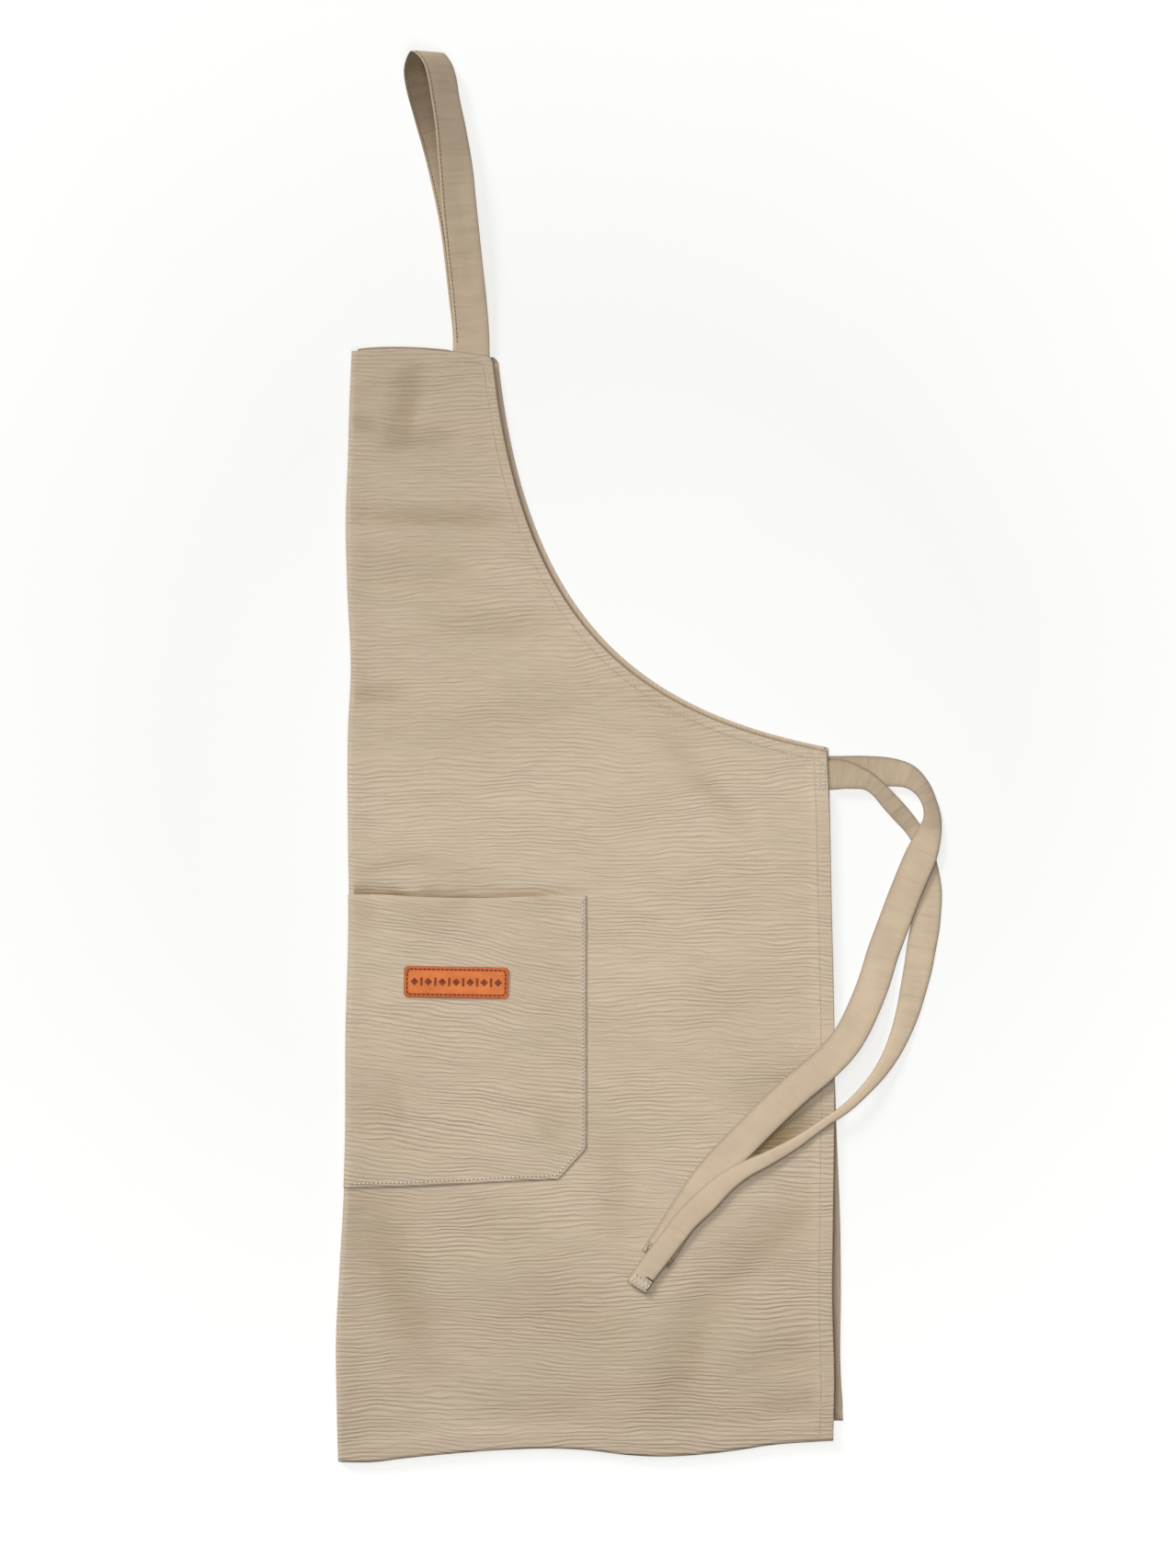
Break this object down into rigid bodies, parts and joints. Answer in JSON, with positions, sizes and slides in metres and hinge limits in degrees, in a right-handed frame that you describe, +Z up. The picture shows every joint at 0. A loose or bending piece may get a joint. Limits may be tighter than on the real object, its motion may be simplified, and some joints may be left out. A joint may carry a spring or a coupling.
{
  "type": "bib apron",
  "caption": "Canvas bib apron folded in half and laid flat, with a neck loop, waist ties, a patch pocket and a leather label.",
  "frame": {"origin": "middle of the outline of the folded apron with its neck loop and without its waist ties, on the surface it lies on", "axes": "+Y from the bottom hem to the neck loop, +X from the centre fold to the side edges, +Z up from the surface, towards the front half"},
  "size_m": [0.4355, 1.012, 0.0226],
  "materials": {
    "canvas": "beige cotton canvas with a fine crosswise rib",
    "hem_canvas": "the same canvas, turned and pressed",
    "strap_canvas": "canvas strip folded and sewn, plain and matt",
    "thread": "beige sewing thread",
    "label_leather": "orange-tan leather, satin, with darker cut edges",
    "label_dark": "dark red-brown pressed motif and thread"
  },
  "bodies": {
    "back_half": {"back_panel": "canvas", "centre_fold_cloth": "canvas", "back_bib_hem": "hem_canvas", "back_armhole_hem": "hem_canvas", "back_side_hem": "hem_canvas", "back_bottom_hem": "hem_canvas", "back_hem_thread": "thread", "back_pocket": "canvas", "pocket_fold_cloth": "canvas", "back_pocket_mouth_hem": "hem_canvas", "neck_strap_back": "strap_canvas", "back_strap_end": "strap_canvas", "back_tie_end": "strap_canvas", "back_waist_tie": "strap_canvas", "back_tie_tip": "strap_canvas"},
    "front_half": {"front_panel": "canvas", "front_bib_hem": "hem_canvas", "front_armhole_hem": "hem_canvas", "front_side_hem": "hem_canvas", "front_bottom_hem": "hem_canvas", "front_hem_thread": "thread", "front_pocket": "canvas", "front_pocket_mouth_hem": "hem_canvas", "front_pocket_thread": "thread", "pocket_corner_tack": "thread", "leather_label": "label_leather", "label_thread": "label_dark", "label_deboss_inlay": "label_dark", "neck_strap_front": "strap_canvas", "front_strap_end": "strap_canvas", "front_strap_thread": "thread", "bib_corner_tack": "thread", "front_tie_end": "strap_canvas", "front_tie_box_thread": "thread", "front_waist_tie": "strap_canvas", "front_tie_tip": "strap_canvas"}
  },
  "joints": [
    {"name": "centre_fold", "type": "hinge", "parent": "back_half", "child": "front_half", "pos_m": [-0.17626, 0, 0.004], "axis": [-0.0113, -0.9999, 0], "range_deg": [0, 178], "deforming": ["centre_fold_cloth", "pocket_fold_cloth", "neck_strap_front", "back_waist_tie", "back_tie_tip"]}
  ]
}
